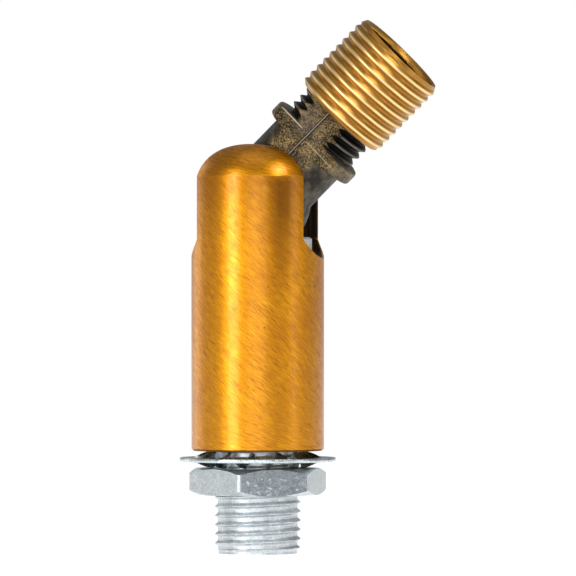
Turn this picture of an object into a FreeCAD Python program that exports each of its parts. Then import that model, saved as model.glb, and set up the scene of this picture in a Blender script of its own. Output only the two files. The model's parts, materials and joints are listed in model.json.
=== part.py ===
"""Slotted-barrel swivel joint for a pendant lamp: one STEP file per piece.

Frame: +Z up along the nipple and the barrel, origin at the centre of the nipple's lower end.
The arm tilts about Y, inside a slot that runs along X. Threads are plain cylinders at their
outside diameters. All sizes are in millimetres.
"""
import FreeCAD, Part
import math
import os

from FreeCAD import Vector

UP = Vector(0, 0, 1)
AXIS_Y = Vector(0, 1, 0)

# Fits and edges
THREAD_GAP = 0.08          # radial gap between a thread and the thread that runs on it
INNER_GAP = 0.05           # radial gap of the pieces fixed inside the barrel
BALL_GAP = 0.2             # radial gap between the ball and its dome and seat
EDGE = 0.3                 # small edge break
SLOT_EDGE = 0.18           # edge break around the slot

# Nipple, 1/4-18 lamp thread
NIPPLE_R = 6.6
NIPPLE_HIDDEN_R = 6.4      # stretch inside the nut, washer and barrel
NIPPLE_BORE_R = 5.1
NIPPLE_EXPOSED = 9.05      # from the lower end to the nut's lower face
NIPPLE_LENGTH = 24.8

# Hex nut and internal-tooth lock washer
NUT_ACROSS_FLATS = 19.05
NUT_THICKNESS = 4.05
NUT_TURN = 26.3            # degrees from +X to the first corner
NUT_CHAMFER_ANGLE = 30.0   # degrees, on both faces
NUT_CORNER_ROUND = 0.9
WASHER_R = 12.0
WASHER_RING_INNER_R = 9.4
WASHER_THICKNESS = 0.6
TOOTH_COUNT = 12
TOOTH_INNER_R = 6.9
TOOTH_WIDTH = 2.6
TOOTH_TWIST = 55.0         # degrees out of the washer's plane

# Barrel
BARREL_BOTTOM_Z = 15.8
BARREL_R = 10.2
BORE_R = 8.4
PIVOT_HEIGHT = 38.5        # pivot above the barrel's bottom face
DOME_START = 3.6           # where the dome's curve starts, above the pivot
DOME_ARC_R = 7.1
DOME_LEAN = 13.6           # degrees inwards at the start of the curve
SLOT_HALF = 5.75
SLOT_FLOOR_HEIGHT = 29.65  # slot floor above the barrel's bottom face
SLOT_FLOOR_R = 7.2

# Pieces inside the barrel
PLUG_RECESS = 0.4
PLUG_LENGTH = 10.6
CUP_TOP_HEIGHT = 32.8
CUP_LENGTH = 4.2
CUP_BORE_R = 4.6
CUP_SKIRT_BORE_R = 6.9
CUP_SKIRT = 1.2
THRUST_WASHER_THICKNESS = 0.8
THRUST_WASHER_BORE_R = 5.6
SPRING_WIRE_R = 0.65
SPRING_MEAN_R = 7.1
SPRING_TURNS = 6.5

# Arm, along its own axis from the pivot
TILT = 45.0                # degrees from +Z towards +X at rest
ROLL = -8.0                # degrees about its own axis, the play that the slot allows
BALL_R = BORE_R - BALL_GAP
STALK_R = 6.53
FLAT_HALF = 5.3
FLAT_CORNER_ROUND = 3.0    # where the stalk's flats turn into its round sides
COLLAR_START = 11.3
COLLAR_END = 13.6
COLLAR_R = 8.07
ARM_THREAD_R = 6.6
ARM_RELIEF = 0.7
ARM_RELIEF_R = 6.1
ARM_END = 27.6
ARM_BORE_R = 4.5
WIRE_SLOT_HALF_ANGLE = 68.0

# Brass sleeve, 5/8-18 outside and 1/4-18 inside, along the arm's axis
SLEEVE_START = 18.15
SLEEVE_END = 31.7
SLEEVE_R = 7.94
SLEEVE_CHAMFER = 0.55

PIVOT = Vector(0, 0, BARREL_BOTTOM_Z + PIVOT_HEIGHT)


def cylinder(radius, z0, z1):
    return Part.makeCylinder(radius, z1 - z0, Vector(0, 0, z0), UP)


def tube(outer_r, inner_r, z0, z1):
    return cylinder(outer_r, z0, z1).cut(cylinder(inner_r, z0, z1))


def sphere(radius, centre):
    return Part.makeSphere(radius, centre)


def slab(half_width, reach, z0, z1):
    """A box with |y| up to half_width, and |x| up to reach."""
    corner = Vector(-reach, -half_width, z0)
    return Part.makeBox(2 * reach, 2 * half_width, z1 - z0, corner)


def turned(outline):
    """A solid of revolution about Z from (radius, z) corners."""
    points = [Vector(radius, 0, z) for radius, z in outline]
    wire = Part.makePolygon(points + [points[0]])
    return Part.Face(wire).revolve(Vector(0, 0, 0), UP, 360)


def on_arm(shape):
    """Moves a shape built along +Z from the pivot onto the tilted arm's axis."""
    shape.rotate(Vector(0, 0, 0), UP, ROLL)
    shape.rotate(Vector(0, 0, 0), AXIS_Y, TILT)
    shape.translate(PIVOT)
    return shape


def make_nipple():
    outline = [
        (NIPPLE_BORE_R, 0),
        (NIPPLE_R, 0),
        (NIPPLE_R, NIPPLE_EXPOSED),
        (NIPPLE_HIDDEN_R, NIPPLE_EXPOSED),
        (NIPPLE_HIDDEN_R, NIPPLE_LENGTH),
        (NIPPLE_BORE_R, NIPPLE_LENGTH),
    ]
    return turned(outline)


def make_hex_nut():
    corner_r = NUT_ACROSS_FLATS / math.sqrt(3)
    z0 = NIPPLE_EXPOSED
    z1 = z0 + NUT_THICKNESS
    corners = []
    for step in range(6):
        angle = math.radians(NUT_TURN + 60 * step)
        corners.append(Vector(corner_r * math.cos(angle), corner_r * math.sin(angle), z0))
    hexagon = Part.Face(Part.makePolygon(corners + [corners[0]]))
    prism = hexagon.extrude(Vector(0, 0, NUT_THICKNESS))
    uprights = [edge for edge in prism.Edges if abs(edge.tangentAt(0).z) > 0.9]
    prism = prism.makeFillet(NUT_CORNER_ROUND, uprights)
    face_r = NUT_ACROSS_FLATS / 2
    reach = corner_r + 1
    drop = (reach - face_r) * math.tan(math.radians(NUT_CHAMFER_ANGLE))
    envelope = turned([
        (0, z0),
        (face_r, z0),
        (reach, z0 + drop),
        (reach, z1 - drop),
        (face_r, z1),
        (0, z1),
    ])
    hole = cylinder(NIPPLE_R + THREAD_GAP, z0, z1)
    return prism.common(envelope).cut(hole)


def make_lock_washer():
    middle_z = (NIPPLE_EXPOSED + NUT_THICKNESS + BARREL_BOTTOM_Z) / 2
    low_z = middle_z - WASHER_THICKNESS / 2
    washer = tube(WASHER_R, WASHER_RING_INNER_R, low_z, low_z + WASHER_THICKNESS)
    tooth_length = WASHER_RING_INNER_R + EDGE - TOOTH_INNER_R
    for step in range(TOOTH_COUNT):
        corner = Vector(TOOTH_INNER_R, -TOOTH_WIDTH / 2, -WASHER_THICKNESS / 2)
        tooth = Part.makeBox(tooth_length, TOOTH_WIDTH, WASHER_THICKNESS, corner)
        tooth.rotate(Vector(0, 0, 0), Vector(1, 0, 0), TOOTH_TWIST)
        tooth.rotate(Vector(0, 0, 0), UP, 360 * step / TOOTH_COUNT)
        tooth.translate(Vector(0, 0, middle_z))
        washer = washer.fuse(tooth)
    return washer


def dome_centre():
    """Radius and height of the circle that the dome's curve is centred on."""
    lean = math.radians(DOME_LEAN)
    radius = BARREL_R - DOME_ARC_R * math.cos(lean)
    return radius, PIVOT.z + DOME_START - DOME_ARC_R * math.sin(lean)


def make_housing():
    pivot_z = PIVOT.z
    bottom = BARREL_BOTTOM_Z
    centre_r, centre_z = dome_centre()
    start = Vector(BARREL_R, 0, pivot_z + DOME_START)
    end = Vector(centre_r, 0, centre_z + DOME_ARC_R)
    halfway = (math.radians(DOME_LEAN) + math.pi / 2) / 2
    middle = Vector(centre_r + DOME_ARC_R * math.cos(halfway), 0, centre_z + DOME_ARC_R * math.sin(halfway))
    skirt = [(BARREL_R, bottom + EDGE), (BARREL_R - EDGE, bottom), (0, bottom), (0, end.z)]
    corners = [start] + [Vector(radius, 0, z) for radius, z in skirt] + [end]
    edges = Part.makePolygon(corners).Edges + [Part.Arc(end, middle, start).toShape()]
    body = Part.Face(Part.Wire(edges)).revolve(Vector(0, 0, 0), UP, 360)
    cavity = cylinder(BORE_R, bottom, pivot_z).fuse(sphere(BORE_R, PIVOT))
    body = body.cut(cavity)
    floor_centre_z = bottom + SLOT_FLOOR_HEIGHT + SLOT_FLOOR_R
    reach = BARREL_R + 1
    floor_round = Part.makeCylinder(
        SLOT_FLOOR_R, 2 * reach, Vector(-reach, 0, floor_centre_z), Vector(1, 0, 0))
    corner_drop = math.sqrt(SLOT_FLOOR_R ** 2 - SLOT_HALF ** 2)
    corner_z = floor_centre_z - corner_drop
    low_part = floor_round.common(slab(SLOT_HALF, reach, bottom, corner_z + 1))
    slot = slab(SLOT_HALF, reach, corner_z, end.z + 1).fuse(low_part)
    body = body.cut(slot.removeSplitter())
    return body.makeChamfer(SLOT_EDGE, outer_slot_edges(body))


def outer_slot_edges(body):
    """The edges where the slot breaks through the barrel's outside and its dome."""
    centre_r, centre_z = dome_centre()
    found = []
    for edge in body.Edges:
        middle = edge.valueAt((edge.FirstParameter + edge.LastParameter) / 2)
        radius = math.hypot(middle.x, middle.y)
        on_side = abs(radius - BARREL_R) < 0.01
        on_dome = abs(math.hypot(radius - centre_r, middle.z - centre_z) - DOME_ARC_R) < 0.01
        in_slot = abs(middle.y) < SLOT_HALF + 0.01 and middle.z > BARREL_BOTTOM_Z + EDGE + 1
        if in_slot and (on_side or on_dome):
            found.append(edge)
    return found


def make_base_plug():
    z0 = BARREL_BOTTOM_Z + PLUG_RECESS
    z1 = z0 + PLUG_LENGTH
    shoulder_z = NIPPLE_LENGTH
    outer_r = BORE_R - INNER_GAP
    return turned([
        (NIPPLE_HIDDEN_R + INNER_GAP, z0),
        (outer_r, z0),
        (outer_r, z1),
        (NIPPLE_BORE_R, z1),
        (NIPPLE_BORE_R, shoulder_z),
        (NIPPLE_HIDDEN_R + INNER_GAP, shoulder_z),
    ])


def cup_bottom_z():
    return BARREL_BOTTOM_Z + CUP_TOP_HEIGHT - CUP_LENGTH


def make_seat_cup():
    z0 = cup_bottom_z()
    z1 = z0 + CUP_LENGTH
    outer_r = BORE_R - INNER_GAP
    cup = turned([
        (CUP_SKIRT_BORE_R, z0),
        (outer_r, z0),
        (outer_r, z1 - EDGE),
        (outer_r - EDGE, z1),
        (CUP_BORE_R, z1),
        (CUP_BORE_R, z0 + CUP_SKIRT),
        (CUP_SKIRT_BORE_R, z0 + CUP_SKIRT),
    ])
    return cup.cut(sphere(BORE_R, PIVOT))


def make_thrust_washer():
    z1 = cup_bottom_z()
    z0 = z1 - THRUST_WASHER_THICKNESS
    return tube(BORE_R - INNER_GAP, THRUST_WASHER_BORE_R, z0, z1)


def make_seat_spring():
    low_z = BARREL_BOTTOM_Z + PLUG_RECESS + PLUG_LENGTH + SPRING_WIRE_R
    high_z = cup_bottom_z() - THRUST_WASHER_THICKNESS - SPRING_WIRE_R
    rise = high_z - low_z
    helix = Part.makeLongHelix(rise / SPRING_TURNS, rise, SPRING_MEAN_R)
    helix.translate(Vector(0, 0, low_z))
    path = Part.Wire(helix.Edges)
    start = Vector(SPRING_MEAN_R, 0, low_z)
    section = Part.Wire([Part.makeCircle(SPRING_WIRE_R, start, AXIS_Y)])
    return path.makePipeShell([section], True, True)


def make_arm():
    stalk = cylinder(STALK_R, 0, COLLAR_START).common(slab(FLAT_HALF, STALK_R, 0, COLLAR_START))
    corners = [edge for edge in stalk.Edges if abs(edge.tangentAt(0).z) > 0.9]
    stalk = stalk.makeFillet(FLAT_CORNER_ROUND, corners)
    outer_end = turned([
        (0, COLLAR_START),
        (COLLAR_R, COLLAR_START),
        (COLLAR_R, COLLAR_END),
        (ARM_RELIEF_R, COLLAR_END),
        (ARM_RELIEF_R, COLLAR_END + ARM_RELIEF),
        (ARM_THREAD_R, COLLAR_END + ARM_RELIEF),
        (ARM_THREAD_R, ARM_END - EDGE),
        (ARM_THREAD_R - EDGE, ARM_END),
        (0, ARM_END),
    ])
    outer_end = outer_end.common(slab(FLAT_HALF, COLLAR_R + 1, COLLAR_START, ARM_END))
    body = stalk.fuse(outer_end).fuse(sphere(BALL_R, Vector(0, 0, 0)))
    body = body.cut(cylinder(ARM_BORE_R, -BALL_R, ARM_END))
    reach = BALL_R + 2
    spread = reach * math.tan(math.radians(WIRE_SLOT_HALF_ANGLE))
    centre = Vector(0, -ARM_BORE_R, 0)
    left = Vector(-spread, -ARM_BORE_R, -reach)
    right = Vector(spread, -ARM_BORE_R, -reach)
    wedge_face = Part.Face(Part.makePolygon([centre, left, right, centre]))
    wire_slot = wedge_face.extrude(Vector(0, 2 * ARM_BORE_R, 0))
    return on_arm(body.cut(wire_slot))


def make_thread_sleeve():
    inner_r = ARM_THREAD_R + THREAD_GAP
    return on_arm(turned([
        (inner_r, SLEEVE_START),
        (SLEEVE_R - SLEEVE_CHAMFER, SLEEVE_START),
        (SLEEVE_R, SLEEVE_START + SLEEVE_CHAMFER),
        (SLEEVE_R, SLEEVE_END - SLEEVE_CHAMFER),
        (SLEEVE_R - SLEEVE_CHAMFER, SLEEVE_END),
        (inner_r, SLEEVE_END),
    ]))


PIECES = {
    "nipple": make_nipple,
    "hex_nut": make_hex_nut,
    "lock_washer": make_lock_washer,
    "housing": make_housing,
    "base_plug": make_base_plug,
    "seat_spring": make_seat_spring,
    "thrust_washer": make_thrust_washer,
    "seat_cup": make_seat_cup,
    "arm": make_arm,
    "thread_sleeve": make_thread_sleeve,
}

os.makedirs("parts", exist_ok=True)
for name, make in PIECES.items():
    piece = make().removeSplitter()
    box = piece.BoundBox
    print(
        f"{name}: valid {piece.isValid()}, solids {len(piece.Solids)},"
        f" {piece.Volume:.1f} mm3, z {box.ZMin:.2f} to {box.ZMax:.2f}"
    )
    piece.exportStep(f"parts/{name}.step")
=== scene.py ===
"""Looks of the pendant-lamp swivel joint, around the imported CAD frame. Blender 4.5, metres."""

import json
import math

import bmesh
import bpy
from mathutils import Matrix, Vector


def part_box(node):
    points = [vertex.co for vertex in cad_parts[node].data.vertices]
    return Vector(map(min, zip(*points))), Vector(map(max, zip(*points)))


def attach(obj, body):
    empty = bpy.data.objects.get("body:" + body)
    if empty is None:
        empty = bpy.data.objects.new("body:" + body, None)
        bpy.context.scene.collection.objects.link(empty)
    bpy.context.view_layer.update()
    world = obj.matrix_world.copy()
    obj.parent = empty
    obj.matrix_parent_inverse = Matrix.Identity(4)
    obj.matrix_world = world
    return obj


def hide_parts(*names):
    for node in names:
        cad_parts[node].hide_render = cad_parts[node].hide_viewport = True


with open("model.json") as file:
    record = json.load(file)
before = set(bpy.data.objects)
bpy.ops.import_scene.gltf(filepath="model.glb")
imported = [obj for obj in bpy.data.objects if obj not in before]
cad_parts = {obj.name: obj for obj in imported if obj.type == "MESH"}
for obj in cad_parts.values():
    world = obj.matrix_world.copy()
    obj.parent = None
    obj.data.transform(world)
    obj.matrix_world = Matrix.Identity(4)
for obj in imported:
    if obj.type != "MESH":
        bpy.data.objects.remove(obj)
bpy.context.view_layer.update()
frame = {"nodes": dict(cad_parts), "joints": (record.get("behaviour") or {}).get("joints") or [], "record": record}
MM = 0.001
TAU = 2 * math.pi


# ---------------------------------------------------------------- places read from the frame

def joint(name):
    return next(j for j in frame["joints"] if j["name"] == name)


def mount(name):
    return next(m for m in frame["record"]["mounts"] if m["name"] == name)


PIVOT = Vector(joint("arm_tilt")["pos_m"])
ARM_AXIS = Vector(mount("sleeve_thread")["axis"]).normalized()
ARM_ROLL = math.radians(-8)
TILT = Vector((0, 0, 1)).rotation_difference(ARM_AXIS).to_matrix().to_4x4()
ARM_PLACE = Matrix.Translation(PIVOT) @ TILT @ Matrix.Rotation(ARM_ROLL, 4, "Z")

NIPPLE_LOW, NIPPLE_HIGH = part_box("nipple")
HOUSING_LOW, HOUSING_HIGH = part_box("housing")
WASHER_LOW, WASHER_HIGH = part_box("lock_washer")
NUT_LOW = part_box("hex_nut")[0]

PITCH = 25.4 / 18 * MM                       # 18 threads per inch, on every thread
ROW_STEP = PITCH / 14                        # height of a mesh row on a thread
FINE_ROW_STEP = PITCH / 28
INNER_ROW_STEP = PITCH / 12
NIPPLE_R = mount("nipple_thread")["dims"]["r_mm"] * MM
NIPPLE_BORE_R = mount("nipple_wireway")["dims"]["r_mm"] * MM
SLEEVE_R = mount("sleeve_thread")["dims"]["r_mm"] * MM
SLEEVE_BORE_R = 6.68 * MM                    # crest of the sleeve's internal thread
ARM_BORE_R = mount("arm_wireway")["dims"]["r_mm"] * MM

BARREL_R = HOUSING_HIGH.y
BARREL_BASE_Z = HOUSING_LOW.z
SHOULDER_Z = PIVOT.z + 3.6 * MM              # where the dome starts
DOME_ARC_R = 7.1 * MM
DOME_LEAN = math.radians(13.6)               # the dome's first slope, from the vertical

NUT_ACROSS_FLATS = 19.05 * MM
NUT_FIRST_CORNER = 26.3                      # degrees about Z

# the arm's own sizes, measured along its axis from the pivot
BALL_R = 8.2 * MM
STALK_R = 6.53 * MM
FLAT_HALF = 5.3 * MM                         # from the axis to each flat
COLLAR_START = 11.3 * MM
COLLAR_END = 13.6 * MM
COLLAR_R = 8.07 * MM
STEP_AT = 12.35 * MM                         # the step across the collar's flat
ARM_THREAD_R = 6.6 * MM
ARM_THREAD_ROOT_R = 5.86 * MM
ARM_END = 27.6 * MM
WIRE_SLOT_HALF_ANGLE = math.radians(68)


# ---------------------------------------------------------------- mesh helpers

def new_object(name, vertices, faces):
    mesh = bpy.data.meshes.new(name)
    mesh.from_pydata(vertices, [], faces)
    mesh.update()
    piece = bpy.data.objects.new(name, mesh)
    bpy.context.scene.collection.objects.link(piece)
    return piece


def ring_loop(name, rings, columns, place=None, closed=True):
    """A skin through rings of points. A ring is (height, radius as a function of angle).

    A closed loop joins the last ring to the first one, which makes a hollow turned body. An open
    one gets a flat cap at each end.
    """
    place = place or Matrix.Identity(4)
    vertices = []
    for height, radius in rings:
        for column in range(columns):
            angle = TAU * column / columns
            r = radius(angle)
            vertices.append(place @ Vector((r * math.cos(angle), r * math.sin(angle), height)))
    faces = []
    count = len(rings)
    for row in range(count if closed else count - 1):
        a = row * columns
        b = ((row + 1) % count) * columns
        for column in range(columns):
            after = (column + 1) % columns
            faces.append((a + column, a + after, b + after, b + column))
    if not closed:
        faces.append(tuple(reversed(range(columns))))
        faces.append(tuple(range((count - 1) * columns, count * columns)))
    return new_object(name, vertices, faces)


def tidy_mesh(piece, sharp_degrees=35):
    """Outward normals, smooth faces, and sharp edges where faces meet at more than the angle."""
    mesh = piece.data
    work = bmesh.new()
    work.from_mesh(mesh)
    bmesh.ops.remove_doubles(work, verts=work.verts, dist=1e-7)
    bmesh.ops.recalc_face_normals(work, faces=work.faces)
    work.to_mesh(mesh)
    work.free()
    for face in mesh.polygons:
        face.use_smooth = True
    mesh.set_sharp_from_angle(angle=math.radians(sharp_degrees))


def apply_modifiers(piece):
    graph = bpy.context.evaluated_depsgraph_get()
    mesh = bpy.data.meshes.new_from_object(piece.evaluated_get(graph))
    piece.modifiers.clear()
    piece.data = mesh


def cut_away(piece, cutter):
    change = piece.modifiers.new("cut", "BOOLEAN")
    change.operation = "DIFFERENCE"
    change.solver = "EXACT"
    change.object = cutter
    apply_modifiers(piece)
    bpy.data.objects.remove(cutter)


def spaced(start, end, step):
    """Heights from start to end, about a step apart, both ends included."""
    count = max(1, round(abs(end - start) / step))
    return [start + (end - start) * i / count for i in range(count + 1)]


def thread_radius(height, angle, crest_r, root_r, phase=0.0, root_width=0.10, rounded=False):
    """A right-hand thread with a narrow crest; root_width is the flat root's share of a pitch."""
    crest_from = 0.92
    turn = (height / PITCH - angle / TAU + phase) % 1.0
    rise = abs(2 * turn - 1)
    share = min(1.0, max(0.0, (rise - root_width) / (crest_from - root_width)))
    if rounded:
        share = (share + share * share * (3 - 2 * share)) / 2
    return root_r + (crest_r - root_r) * share


# ---------------------------------------------------------------- material helpers

class Nodes:
    """Short calls for building a node tree."""

    def __init__(self, name):
        self.material = bpy.data.materials.new(name)
        self.material.use_nodes = True
        self.tree = self.material.node_tree
        self.tree.nodes.clear()
        self.output = self.add("ShaderNodeOutputMaterial")
        self.shader = self.add("ShaderNodeBsdfPrincipled")
        self.link(self.shader.outputs["BSDF"], self.output.inputs["Surface"])
        self.coords = self.add("ShaderNodeTexCoord").outputs["Object"]
        split = self.add("ShaderNodeSeparateXYZ")
        self.link(self.coords, split.inputs[0])
        self.x, self.y, self.z = split.outputs

    def add(self, kind, **values):
        node = self.tree.nodes.new(kind)
        for key, value in values.items():
            setattr(node, key, value)
        return node

    def link(self, source, target):
        self.tree.links.new(source, target)

    def feed(self, target, value):
        if isinstance(value, bpy.types.NodeSocket):
            self.link(value, target)
        else:
            target.default_value = value

    def math(self, operation, a, b=0.0):
        node = self.add("ShaderNodeMath", operation=operation)
        self.feed(node.inputs[0], a)
        self.feed(node.inputs[1], b)
        return node.outputs[0]

    def vector(self, x, y, z):
        node = self.add("ShaderNodeCombineXYZ")
        for target, value in zip(node.inputs, (x, y, z)):
            self.feed(target, value)
        return node.outputs[0]

    def noise(self, where, scale, detail=4.0, rough=0.55):
        node = self.add("ShaderNodeTexNoise")
        self.link(where, node.inputs["Vector"])
        node.inputs["Scale"].default_value = scale
        node.inputs["Detail"].default_value = detail
        node.inputs["Roughness"].default_value = rough
        return node.outputs["Fac"]

    def ramp(self, value, low, high, out_low=0.0, out_high=1.0):
        """value mapped from low..high to out_low..out_high, clamped."""
        node = self.add("ShaderNodeMapRange")
        self.feed(node.inputs["Value"], value)
        node.inputs["From Min"].default_value = low
        node.inputs["From Max"].default_value = high
        node.inputs["To Min"].default_value = out_low
        node.inputs["To Max"].default_value = out_high
        return node.outputs["Result"]

    def mix(self, share, a, b):
        node = self.add("ShaderNodeMix", data_type="RGBA")
        self.feed(node.inputs["Factor"], share)
        for target, value in ((node.inputs[6], a), (node.inputs[7], b)):
            self.feed(target, value if isinstance(value, bpy.types.NodeSocket) else (*value, 1.0))
        return node.outputs[2]

    def blend(self, share, a, b):
        """A plain number between a and b."""
        return self.math("ADD", a, self.math("MULTIPLY", share, self.math("SUBTRACT", b, a)))

    def distance(self, u, v):
        squares = self.math("ADD", self.math("MULTIPLY", u, u), self.math("MULTIPLY", v, v))
        return self.math("SQRT", squares)

    def finish(self, color, roughness, height=None, depth=0.0, metallic=1.0):
        self.feed(self.shader.inputs["Base Color"], color)
        self.feed(self.shader.inputs["Roughness"], roughness)
        self.feed(self.shader.inputs["Metallic"], metallic)
        if height is not None:
            bump = self.add("ShaderNodeBump")
            bump.inputs["Strength"].default_value = 1.0
            bump.inputs["Distance"].default_value = depth
            self.link(height, bump.inputs["Height"])
            self.link(bump.outputs["Normal"], self.shader.inputs["Normal"])
        return self.material


def rgb(red, green, blue):
    """Linear colour from 0..255 sRGB values."""
    def linear(value):
        value /= 255
        return value / 12.92 if value <= 0.04045 else ((value + 0.055) / 1.055) ** 2.4
    return tuple(linear(v) for v in (red, green, blue))


# ---------------------------------------------------------------- materials

SKIN_FROM, SKIN_TO = 0.11 * MM, 0.04 * MM    # depth over which a face counts as outside skin


def brushed_gold():
    """Housing: lacquered brass with slanting brush marks, and painted shade inside its bore and slot."""
    n = Nodes("brushed_gold")
    angle = n.math("ARCTAN2", n.x, n.math("MULTIPLY", n.y, -1.0))
    around = n.math("MULTIPLY", angle, BARREL_R)
    base_z = BARREL_BASE_Z

    def brushed(slant):
        """Noise drawn out along strokes that climb by slant per unit of arc."""
        across = n.math("ADD", n.math("MULTIPLY", around, slant), n.z)
        along = n.math("SUBTRACT", around, n.math("MULTIPLY", n.z, slant))
        fine = n.noise(n.vector(n.math("MULTIPLY", along, 0.10), across, 0.0), 5200, 3.0, 0.65)
        broad = n.noise(n.vector(n.math("MULTIPLY", along, 0.14), across, 0.3), 900, 3.0, 0.6)
        return n.math("ADD", n.math("MULTIPLY", fine, 0.75), n.math("MULTIPLY", broad, 0.25))

    # the strokes slant by about 40 degrees, and lie flatter near the bottom edge and on the dome
    above = n.math("GREATER_THAN", n.z, SHOULDER_Z)
    strokes = n.blend(n.ramp(n.z, base_z, base_z + 9 * MM), brushed(0.30), brushed(0.80))
    strokes = n.blend(above, strokes, brushed(0.20))
    stain = n.noise(n.coords, 160, 3.0, 0.5)
    pits = n.noise(n.coords, 1500, 1.0, 0.5)
    streak = n.ramp(strokes, 0.36, 0.62)
    gold = n.mix(streak, rgb(166, 96, 0), rgb(234, 160, 14))
    gold = n.mix(n.ramp(stain, 0.45, 0.70, 0.0, 0.4), gold, rgb(182, 108, 2))
    # painted shade: darker towards the shoulder, most of all beside the arm, where the reflection
    # fades. This is painted into the lacquer as a guess: on the real object it may partly be a
    # reflection.
    shoulder_shade = n.ramp(n.z, base_z + 31 * MM, base_z + 41 * MM, 0.0, 0.5)
    shoulder_shade = n.math("MULTIPLY", shoulder_shade, n.ramp(n.z, SHOULDER_Z, SHOULDER_Z - 0.1 * MM))
    gold = n.mix(shoulder_shade, gold, rgb(136, 78, 0))
    # painted shade beside the arm, below the shoulder
    arm_shade_angle = math.radians(34)
    off_arm_shade = n.math("ABSOLUTE", n.math("SUBTRACT", angle, arm_shade_angle))
    arm_shade = n.ramp(off_arm_shade, math.radians(15), math.radians(4), 0.0, 0.7)
    arm_shade = n.math("MULTIPLY", arm_shade, n.ramp(n.z, base_z + 24 * MM, base_z + 37 * MM))
    arm_shade = n.math("MULTIPLY", arm_shade, n.ramp(n.z, SHOULDER_Z, SHOULDER_Z - 1 * MM))
    gold = n.mix(arm_shade, gold, rgb(112, 62, 0))
    gold = n.mix(n.ramp(pits, 0.77, 0.80, 0.0, 0.7), gold, rgb(60, 36, 8))
    # outside skin: the cylinder, or the dome above it
    rho = n.distance(n.x, n.y)
    arc_rho = BARREL_R - DOME_ARC_R * math.cos(DOME_LEAN)
    arc_z = SHOULDER_Z - DOME_ARC_R * math.sin(DOME_LEAN)
    dome = n.distance(n.math("SUBTRACT", rho, arc_rho), n.math("SUBTRACT", n.z, arc_z))
    # the edge break around the slot takes the painted shade beside the ears, and stays bright along its floor
    floor_z = PIVOT.z - 6 * MM
    reach = n.math("ADD", rho, n.ramp(n.z, floor_z, floor_z + 0.4 * MM, 0.25 * MM, 0.0))
    on_side = n.ramp(reach, BARREL_R - SKIN_FROM, BARREL_R - SKIN_TO)
    on_dome = n.ramp(dome, DOME_ARC_R - SKIN_FROM, DOME_ARC_R - SKIN_TO)
    skin = n.math("MAXIMUM", on_side, n.math("MULTIPLY", on_dome, above))
    # painted shade inside the bore and slot: dark brown with streaks
    bore_streak = n.noise(n.vector(n.x, n.y, n.math("MULTIPLY", n.z, 0.05)), 1500, 3.0)
    inside = n.mix(n.ramp(bore_streak, 0.4, 0.65), rgb(30, 21, 12), rgb(84, 58, 34))
    color = n.mix(skin, inside, gold)
    rough_skin = n.ramp(streak, 0.0, 1.0, 0.42, 0.30)
    dull = n.math("MULTIPLY", n.math("SUBTRACT", 1.0, skin), 0.25)
    n.shader.inputs["Coat Weight"].default_value = 0.4
    n.shader.inputs["Coat Roughness"].default_value = 0.18
    return n.finish(color, n.math("ADD", dull, rough_skin), strokes, 0.035 * MM)


def bright_brass(name, axis_place, root_r, crest_r):
    """Machined brass thread: painted highlight on the bright crests, painted shade in the brown roots. axis_place
    gives the thread's axis.
    """
    n = Nodes(name)
    origin = axis_place.translation
    direction = (axis_place.to_3x3() @ Vector((0, 0, 1))).normalized()
    offset = n.add("ShaderNodeVectorMath", operation="SUBTRACT")
    n.link(n.coords, offset.inputs[0])
    offset.inputs[1].default_value = origin
    cross = n.add("ShaderNodeVectorMath", operation="CROSS_PRODUCT")
    n.link(offset.outputs[0], cross.inputs[0])
    cross.inputs[1].default_value = direction
    length = n.add("ShaderNodeVectorMath", operation="LENGTH")
    n.link(cross.outputs[0], length.inputs[0])
    # painted shade and highlight: brown towards the thread roots, bright at the crests
    depth = n.ramp(length.outputs["Value"], root_r, crest_r)
    spots = n.noise(n.coords, 900, 4.0, 0.6)
    stain = n.noise(n.coords, 220, 3.0, 0.5)
    root_shade_to_crest_light = n.mix(n.ramp(depth, 0.75, 1.0), rgb(174, 126, 56), rgb(250, 218, 152))
    color = n.mix(n.ramp(stain, 0.45, 0.75, 0.0, 0.35), root_shade_to_crest_light, rgb(180, 134, 64))
    roughness = n.ramp(spots, 0.3, 0.7, 0.30, 0.38)
    return n.finish(color, roughness)


def zinc_plate(name, bright, dark, rough, shaded_flat=None):
    """Bright zinc plating over steel, with fine mottling and a few brighter flecks.

    The last argument is (direction, distance from the Z axis) of one flat made greyer than the rest:
    painted shade for the way the light falls on it. That it is the plating, and not the way the
    light falls on it, is a guess.
    """
    n = Nodes(name)
    cloud = n.noise(n.coords, 900, 4.0, 0.6)
    grain = n.noise(n.coords, 3600, 3.0, 0.65)
    flecks = n.noise(n.coords, 1500, 2.0, 0.5)
    mottle = n.math("ADD", n.math("MULTIPLY", cloud, 0.4), n.math("MULTIPLY", grain, 0.6))
    share = n.ramp(mottle, 0.38, 0.62)
    color = n.mix(share, rgb(*dark), rgb(*bright))
    # painted shade: one flat greyer than the rest
    if shaded_flat:
        direction, distance = shaded_flat
        out_x = n.math("MULTIPLY", n.x, direction.x)
        out_y = n.math("MULTIPLY", n.y, direction.y)
        dull = n.ramp(n.math("ADD", out_x, out_y), distance - 0.10 * MM, distance - 0.03 * MM)
        grey = n.mix(share, rgb(124, 130, 136), rgb(162, 169, 174))
        color = n.mix(dull, color, grey)
    color = n.mix(n.ramp(flecks, 0.62, 0.72, 0.0, 0.5), color, rgb(240, 244, 246))
    return n.finish(color, n.ramp(mottle, 0.35, 0.65, *rough), grain, 0.004 * MM)


def spring_steel():
    n = Nodes("spring_steel")
    grain = n.noise(n.coords, 1800, 3.0, 0.6)
    color = n.mix(grain, rgb(92, 92, 96), rgb(150, 150, 154))
    return n.finish(color, n.ramp(grain, 0.3, 0.7, 0.3, 0.5), grain, 0.01 * MM)


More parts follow.
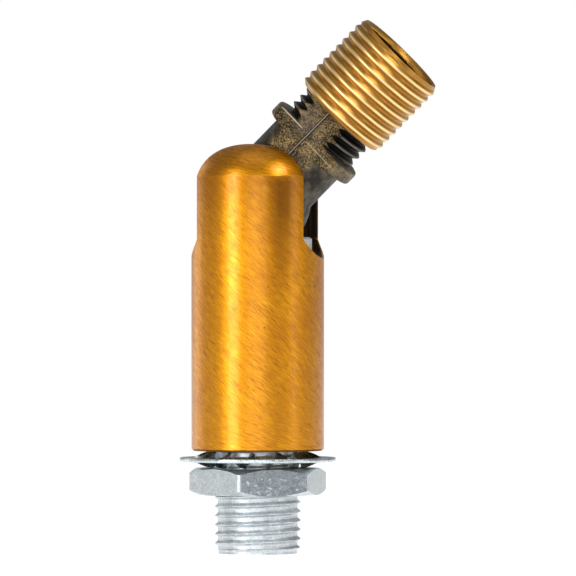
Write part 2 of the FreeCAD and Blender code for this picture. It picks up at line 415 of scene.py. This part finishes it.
def plug_brass():
    n = Nodes("plug_brass")
    rho = n.distance(n.x, n.y)
    rings = n.noise(n.vector(rho, 0.0, n.math("MULTIPLY", n.z, 0.4)), 9000, 2.0)
    color = n.mix(rings, rgb(176, 128, 62), rgb(226, 182, 110))
    return n.finish(color, n.ramp(rings, 0.3, 0.7, 0.28, 0.42), rings, 0.008 * MM)


def cast_bronze():
    """Arm: die-cast, antique bronze: speckled flats, grey round sides, thread roots blackened as painted shade."""
    n = Nodes("cast_bronze")
    back = ARM_PLACE.inverted()

    def along(row):
        part = n.math("ADD", n.math("MULTIPLY", n.x, row[0]), n.math("MULTIPLY", n.y, row[1]))
        return n.math("ADD", n.math("ADD", part, n.math("MULTIPLY", n.z, row[2])), row[3])

    # the arm's own coordinates: along the slot, across the flats, and along its axis
    u, v, w = along(back[0]), along(back[1]), along(back[2])
    lift = n.math("ABSOLUTE", v)
    speckle = n.noise(n.coords, 4400, 3.0, 0.75)
    patches = n.noise(n.coords, 500, 4.0, 0.6)
    cloud = n.noise(n.coords, 170, 2.0, 0.5)
    wear = n.math("ADD", n.math("MULTIPLY", speckle, 0.7), n.math("MULTIPLY", patches, 0.3))
    worn = n.ramp(wear, 0.46, 0.61)
    flats = n.mix(worn, rgb(34, 28, 19), rgb(140, 116, 75))
    flats = n.mix(n.ramp(cloud, 0.50, 0.66, 0.0, 0.45), flats, rgb(78, 72, 66))
    sides = n.mix(n.ramp(patches, 0.4, 0.7), rgb(46, 42, 37), rgb(98, 90, 76))
    past_start = n.ramp(w, COLLAR_START - 0.2 * MM, COLLAR_START)
    before_end = n.ramp(w, COLLAR_END + 0.1 * MM, COLLAR_END)
    collar = n.math("MULTIPLY", past_start, before_end)
    collar_color = n.mix(worn, rgb(84, 76, 60), rgb(150, 134, 100))
    sides = n.mix(n.math("MULTIPLY", collar, 0.75), sides, collar_color)
    color = n.mix(n.ramp(lift, FLAT_HALF - 0.40 * MM, FLAT_HALF - 0.15 * MM), sides, flats)
    # painted highlight and shade on the cast parting line down the middle of each flat: a bright crest between two
    # dark lines
    off_seam = n.math("ABSOLUTE", u)
    beside = n.math("ABSOLUTE", n.math("SUBTRACT", off_seam, 0.16 * MM))
    line = n.ramp(beside, 0.16 * MM, 0.06 * MM)
    crest = n.ramp(off_seam, 0.09 * MM, 0.04 * MM)
    # painted highlights along edges on the flats: the step on one side of the seam, the collar's rim on the other
    off_step = n.math("ABSOLUTE", n.math("SUBTRACT", w, STEP_AT))
    step = n.math("MULTIPLY", n.ramp(off_step, 0.10 * MM, 0.05 * MM), n.ramp(u, 0.5 * MM, 0.7 * MM))
    off_rim = n.math("ABSOLUTE", n.math("SUBTRACT", w, COLLAR_END - 0.25 * MM))
    rim = n.math("MULTIPLY", n.ramp(off_rim, 0.12 * MM, 0.06 * MM), n.ramp(u, -1.2 * MM, -1.8 * MM))
    on_flat = n.ramp(lift, FLAT_HALF - 0.25 * MM, FLAT_HALF - 0.15 * MM)
    edge_highlights = n.math("MULTIPLY", n.math("ADD", step, rim), on_flat)
    # painted shade beside the parting line, then its painted highlight
    color = n.mix(n.math("MULTIPLY", line, 0.7), color, rgb(34, 30, 28))
    color = n.mix(n.math("MULTIPLY", crest, 0.7), color, rgb(160, 150, 134))
    # painted highlights along the step and the collar's rim
    color = n.mix(n.math("MULTIPLY", edge_highlights, 0.6), color, rgb(190, 180, 150))
    # painted shade: black between the threads beyond the collar, lighter towards the crests
    radius = n.distance(u, v)
    beyond = n.ramp(w, COLLAR_END, COLLAR_END + 0.2 * MM)
    off_flat = n.ramp(lift, FLAT_HALF - 0.1 * MM, FLAT_HALF - 0.3 * MM)
    thread = n.math("MULTIPLY", beyond, off_flat)
    near_crest = n.ramp(radius, ARM_THREAD_R - 0.30 * MM, ARM_THREAD_R - 0.02 * MM)
    thread_shading = n.mix(near_crest, rgb(14, 13, 12), rgb(120, 118, 108))
    color = n.mix(thread, color, thread_shading)
    height = n.math("ADD", n.math("MULTIPLY", speckle, 0.7), patches)
    return n.finish(color, n.ramp(worn, 0.0, 1.0, 0.58, 0.42), height, 0.05 * MM, metallic=0.85)


# ---------------------------------------------------------------- pieces

def make_nipple(material):
    """Hollow nipple with a rolled thread from end to end and bevelled mouths."""
    root_r = NIPPLE_R - 0.46 * MM
    end_drop = 0.55 * MM
    low, high = NIPPLE_LOW.z, NIPPLE_HIGH.z
    bevel = 0.95 * MM
    hidden_r = 6.4 * MM
    seat_z = NUT_LOW.z
    rings = []
    for height in spaced(low, high, ROW_STEP):
        crest_r = NIPPLE_R if height < seat_z else hidden_r
        edge = min(height - low, high - height) / bevel
        limit = crest_r - end_drop * min(1.0, 2 * max(0.0, 1.0 - edge))

        def radius(angle, height=height, crest_r=crest_r, limit=limit):
            thread = thread_radius(height, angle, crest_r, root_r, phase=0.43, root_width=0.42)
            return min(limit, thread)
        rings.append((height, radius))
    lip = 0.35 * MM
    for height, bore_r in ((high, NIPPLE_BORE_R + lip), (high - lip, NIPPLE_BORE_R),
                           (low + lip, NIPPLE_BORE_R), (low, NIPPLE_BORE_R + lip)):
        rings.append((height, lambda angle, bore_r=bore_r: bore_r))
    piece = ring_loop("nipple_thread", rings, 144)
    tidy_mesh(piece, 50)
    piece.data.materials.append(material)
    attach(piece, "barrel")
    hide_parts("nipple")


def make_sleeve(material):
    """Brass sleeve: an external thread with bevelled ends, and an internal thread."""
    length = mount("sleeve_thread")["dims"]["length_mm"] * MM
    chamfer = 0.55 * MM
    bevel = 1.15 * MM
    middle = (Vector(mount("sleeve_thread")["pos_m"]) - PIVOT).length
    low = middle - length / 2 - chamfer
    high = middle + length / 2 + chamfer
    end_drop = 0.62 * MM
    root_r = SLEEVE_R - 0.44 * MM
    inner_root_r = SLEEVE_BORE_R + 0.35 * MM
    rings = []
    for height in spaced(low, high, FINE_ROW_STEP):
        edge = min((height - low) / chamfer, (high - height) / bevel)
        limit = SLEEVE_R - end_drop * max(0.0, 1.0 - edge)

        def radius(angle, height=height, limit=limit):
            thread = thread_radius(
                height, angle, SLEEVE_R, root_r, phase=0.35, root_width=0.0, rounded=True)
            return min(limit, thread)
        rings.append((height, radius))
    mouth = 0.6 * MM
    for height in spaced(high, low, INNER_ROW_STEP):
        edge = min(height - low, high - height) / mouth
        limit = SLEEVE_BORE_R + mouth * max(0.0, 1.0 - edge)

        def radius(angle, height=height, limit=limit):
            thread = thread_radius(height, angle, SLEEVE_BORE_R, inner_root_r, phase=0.5)
            return max(limit, thread)
        rings.append((height, radius))
    piece = ring_loop("brass_sleeve", rings, 180, ARM_PLACE)
    tidy_mesh(piece, 28)
    piece.data.materials.append(material)
    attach(piece, "sleeve")
    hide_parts("thread_sleeve")


def soft_min(a, b, width):
    """The smaller of two lengths, blended over a width."""
    gap = max(width - abs(a - b), 0.0) / width
    return min(a, b) - gap * gap * width / 4


def make_arm(material):
    """Cast arm: ball, stalk with rounded flats, collar, thread cut by the flats, parting line."""
    step_down = 0.09 * MM
    thread_start = COLLAR_END + 0.5 * MM
    lead_length = 0.6 * MM
    seam_half = 0.22 * MM
    seam_rise = 0.16 * MM
    stalk_corner = 1.1 * MM                  # width over which a flat turns into a round side
    thread_corner = 0.12 * MM

    def plain_radius(height, angle):
        if COLLAR_START <= height <= COLLAR_END:
            corner = 0.45 * MM
            edge = min(height - COLLAR_START, COLLAR_END - height)
            drop = corner - math.sqrt(max(0.0, corner ** 2 - max(0.0, corner - edge) ** 2))
            return COLLAR_R - drop
        if height < COLLAR_START:
            return STALK_R
        if height < thread_start:
            return ARM_THREAD_ROOT_R
        lead = min(1.0, (ARM_END - height) / lead_length)
        limit = ARM_THREAD_ROOT_R + (ARM_THREAD_R - ARM_THREAD_ROOT_R) * lead
        return min(thread_radius(height, angle, ARM_THREAD_R, ARM_THREAD_ROOT_R), limit)

    def radius_at(height):
        ball = math.sqrt(max(0.0, BALL_R ** 2 - height ** 2))
        if height < 0:
            return lambda angle: max(ball, 0.02 * MM)
        blend = stalk_corner if height < COLLAR_START - 0.01 * MM else thread_corner

        def radius(angle):
            sine = max(abs(math.sin(angle)), 0.05)
            half = FLAT_HALF - (step_down if height > STEP_AT else 0.0)
            x_here = half / sine * math.cos(angle)
            ridge = max(0.0, 1.0 - abs(x_here) / seam_half)
            limit = (half + seam_rise * min(1.0, 1.6 * ridge)) / sine
            return max(ball, soft_min(plain_radius(height, angle), limit, blend))
        return radius

    ball_rows = 33
    heights = sorted(-BALL_R * math.cos(math.pi / 2 * k / ball_rows) for k in range(1, ball_rows))
    heights += spaced(0.0, COLLAR_START - 0.02 * MM, 0.35 * MM)
    heights += spaced(COLLAR_START, COLLAR_END, 0.1 * MM)
    heights += spaced(COLLAR_END + 0.02 * MM, ARM_END, ROW_STEP)
    rings = [(height, radius_at(height)) for height in heights]
    piece = ring_loop("cast_arm", rings, 288, ARM_PLACE, closed=False)
    tidy_mesh(piece, 40)

    # the slot that the wires swing through below the ball, and the bore along the whole arm
    reach = BALL_R + 2 * MM
    spread = reach * math.tan(WIRE_SLOT_HALF_ANGLE)
    slot_half = ARM_BORE_R - 0.06 * MM
    corners = [(0, 0.1 * MM), (-spread, -reach), (spread, -reach)]
    wedge = [ARM_PLACE @ Vector((x, side * slot_half, z)) for side in (-1, 1) for x, z in corners]
    sides = [(0, 1, 2), (5, 4, 3), (0, 3, 4, 1), (1, 4, 5, 2), (2, 5, 3, 0)]
    wire_slot = new_object("wire_slot", wedge, sides)
    tidy_mesh(wire_slot)
    cut_away(piece, wire_slot)
    bore_ends = (-BALL_R - 1.8 * MM, ARM_END + 1.4 * MM)
    bore_rings = [(z, lambda angle: ARM_BORE_R) for z in bore_ends]
    bore = ring_loop("bore", bore_rings, 96, ARM_PLACE, closed=False)
    tidy_mesh(bore)
    cut_away(piece, bore)
    tidy_mesh(piece, 40)
    piece.data.materials.clear()
    piece.data.materials.append(material)
    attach(piece, "arm")
    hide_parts("arm")


def make_lock_washer(material):
    """Internal-tooth lock washer: a flat ring and twelve twisted teeth."""
    middle_z = (WASHER_LOW.z + WASHER_HIGH.z) / 2
    outer_r = WASHER_HIGH.y
    inner_r = 9.4 * MM
    tooth_tip_r = 6.9 * MM
    tooth_count = 12
    half = 0.3 * MM
    soft = 0.12 * MM
    chip_r, chip_z = outer_r - soft * 0.3, half - soft * 0.4
    profile = [
        (inner_r + soft, -half), (outer_r - soft, -half), (chip_r, -chip_z),
        (outer_r, -half + soft), (outer_r, half - soft), (chip_r, chip_z),
        (outer_r - soft, half), (inner_r + soft, half),
        (inner_r, half - soft), (inner_r, -half + soft)]
    rings = [(middle_z + z, lambda angle, r=r: r) for r, z in profile]
    ring = ring_loop("toothed_washer", rings, 240)
    work = bmesh.new()
    work.from_mesh(ring.data)
    for tooth in range(tooth_count):
        turn = Matrix.Rotation(TAU * tooth / tooth_count, 4, "Z")
        place = Matrix.Translation((0, 0, middle_z)) @ turn
        add_tooth(work, place, inner_r + 0.35 * MM, tooth_tip_r, half)
    work.to_mesh(ring.data)
    work.free()
    tidy_mesh(ring, 35)
    ring.data.materials.append(material)
    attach(ring, "washer")
    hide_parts("lock_washer")


def add_tooth(work, place, outer_r, inner_r, half):
    """A blade from the ring inwards that twists from flat to steep."""
    stations = 9
    full_twist = math.radians(64)
    root_half_width = 1.60 * MM
    narrowing = 0.25 * MM
    lift = half * 0.85
    loops = []
    for index in range(stations):
        share = index / (stations - 1)
        x = outer_r + (inner_r - outer_r) * share
        twist = full_twist * share
        wide = root_half_width - narrowing * share
        loop = []
        for y, z in ((-wide, -lift), (wide, -lift), (wide, lift), (-wide, lift)):
            turned_y = y * math.cos(twist) - z * math.sin(twist)
            turned_z = y * math.sin(twist) + z * math.cos(twist)
            loop.append(work.verts.new(place @ Vector((x, turned_y, turned_z))))
        loops.append(loop)
    for a, b in zip(loops, loops[1:]):
        for k in range(4):
            work.faces.new((a[k], a[(k + 1) % 4], b[(k + 1) % 4], b[k]))
    work.faces.new(loops[0])
    work.faces.new(list(reversed(loops[-1])))


def dress(node, material):
    """Gives a CAD node that stays visible its material."""
    mesh = frame["nodes"][node].data
    mesh.materials.clear()
    mesh.materials.append(material)


# ---------------------------------------------------------------- stage, light and camera

VIEW_AZIMUTH = math.radians(11.2)
CAMERA_DISTANCE = 0.92
PX_PER_METRE = 6500
FRAME_PX = 576
AIM_RIGHT = 4.66 * MM                        # the frame's centre, right of the barrel's axis
AIM_Z = 40.8 * MM
LIGHTS_AIM_Z = 41 * MM
RIGHT = Vector((math.cos(VIEW_AZIMUTH), math.sin(VIEW_AZIMUTH), 0))
TOWARDS_CAMERA = Vector((math.sin(VIEW_AZIMUTH), -math.cos(VIEW_AZIMUTH), 0))


def make_camera():
    camera = bpy.data.cameras.new("camera")
    camera.sensor_width = 36
    frame_width = FRAME_PX / PX_PER_METRE
    camera.lens = camera.sensor_width * CAMERA_DISTANCE / frame_width
    camera.clip_end = 50
    camera.clip_start = 0.01
    eye = bpy.data.objects.new("camera", camera)
    bpy.context.scene.collection.objects.link(eye)
    aim = RIGHT * AIM_RIGHT + Vector((0, 0, AIM_Z))
    eye.location = aim + TOWARDS_CAMERA * CAMERA_DISTANCE
    eye.rotation_euler = (-TOWARDS_CAMERA).to_track_quat("-Z", "Y").to_euler()
    bpy.context.scene.camera = eye


def area_light(name, azimuth, elevation, distance, size, radiance):
    """A soft panel that faces the object. Azimuth runs from the camera, positive to the right."""
    light = bpy.data.lights.new(name, "AREA")
    light.shape = "RECTANGLE"
    light.size, light.size_y = size
    light.energy = radiance * math.pi * size[0] * size[1]
    lamp = bpy.data.objects.new(name, light)
    bpy.context.scene.collection.objects.link(lamp)
    a, e = math.radians(azimuth), math.radians(elevation)
    level = TOWARDS_CAMERA * math.cos(a) + RIGHT * math.sin(a)
    direction = level * math.cos(e) + Vector((0, 0, math.sin(e)))
    lamp.location = Vector((0, 0, LIGHTS_AIM_Z)) + direction * distance
    lamp.rotation_euler = (-direction).to_track_quat("-Z", "Y").to_euler()


def make_lights():
    # name, azimuth, elevation, distance, (width, height), radiance
    area_light("key_left", -43, 8, 0.6, (0.20, 0.60), 5.7)
    area_light("front", -1, 12, 1.3, (0.74, 0.80), 1.8)
    area_light("right", 66, 4, 0.6, (0.14, 0.40), 1.4)
    area_light("rim_left", -128, 6, 0.6, (0.30, 0.60), 0.8)
    area_light("back_left", -165, 6, 0.8, (0.30, 0.80), 0.20)
    area_light("back_right", 160, 6, 0.8, (0.30, 0.80), 0.10)
    area_light("top_right", 46, 42, 0.6, (0.18, 0.18), 8.0)
    area_light("top", -20, 75, 0.8, (0.50, 0.50), 0.6)


def make_world():
    """White behind the object, and a dimmer grey for what its metal reflects."""
    world = bpy.data.worlds.new("studio")
    bpy.context.scene.world = world
    world.use_nodes = True
    tree = world.node_tree
    tree.nodes.clear()
    output = tree.nodes.new("ShaderNodeOutputWorld")
    seen = tree.nodes.new("ShaderNodeBackground")
    seen.inputs["Color"].default_value = (1, 1, 1, 1)
    seen.inputs["Strength"].default_value = 1.0
    lighting = tree.nodes.new("ShaderNodeBackground")
    lighting.inputs["Color"].default_value = (1, 1, 1, 1)
    lighting.inputs["Strength"].default_value = 0.30
    path = tree.nodes.new("ShaderNodeLightPath")
    choose = tree.nodes.new("ShaderNodeMixShader")
    tree.links.new(path.outputs["Is Camera Ray"], choose.inputs[0])
    tree.links.new(lighting.outputs[0], choose.inputs[1])
    tree.links.new(seen.outputs[0], choose.inputs[2])
    tree.links.new(choose.outputs[0], output.inputs[0])


def make_floor():
    size = 3.0
    z = -14 * MM
    corners = [(-size, -size, z), (size, -size, z), (size, size, z), (-size, size, z)]
    floor = new_object("floor", corners, [(0, 1, 2, 3)])
    n = Nodes("pale_floor")
    n.shader.inputs["Emission Color"].default_value = (1, 1, 1, 1)
    n.shader.inputs["Emission Strength"].default_value = 0.75
    n.finish((0.80, 0.80, 0.80, 1), 0.9, metallic=0.0)
    floor.data.materials.append(n.material)


# ---------------------------------------------------------------- build

make_camera()
make_lights()
make_world()
make_floor()

make_nipple(zinc_plate("zinc_plate", (214, 219, 222), (180, 187, 191), (0.34, 0.46)))
make_sleeve(bright_brass("bright_brass", ARM_PLACE, SLEEVE_R - 0.5 * MM, SLEEVE_R))
make_arm(cast_bronze())
make_lock_washer(zinc_plate("zinc_washer", (222, 231, 233), (166, 177, 181), (0.22, 0.36)))
dress("housing", brushed_gold())
# the flat that faces front right, which gets the painted shade, is halfway between two corners
nut_face = math.radians(NUT_FIRST_CORNER + 30 - 120)
nut_shaded_flat = (Vector((math.cos(nut_face), math.sin(nut_face), 0)), NUT_ACROSS_FLATS / 2)
dress("hex_nut", zinc_plate("zinc_nut", (214, 220, 221), (180, 188, 191), (0.28, 0.42), nut_shaded_flat))
dress("seat_cup", zinc_plate("zinc_seat", (226, 230, 232), (186, 194, 198), (0.25, 0.4)))
dress("thrust_washer", spring_steel())
dress("seat_spring", spring_steel())
dress("base_plug", plug_brass())

bpy.context.scene.view_settings.view_transform = "Standard"
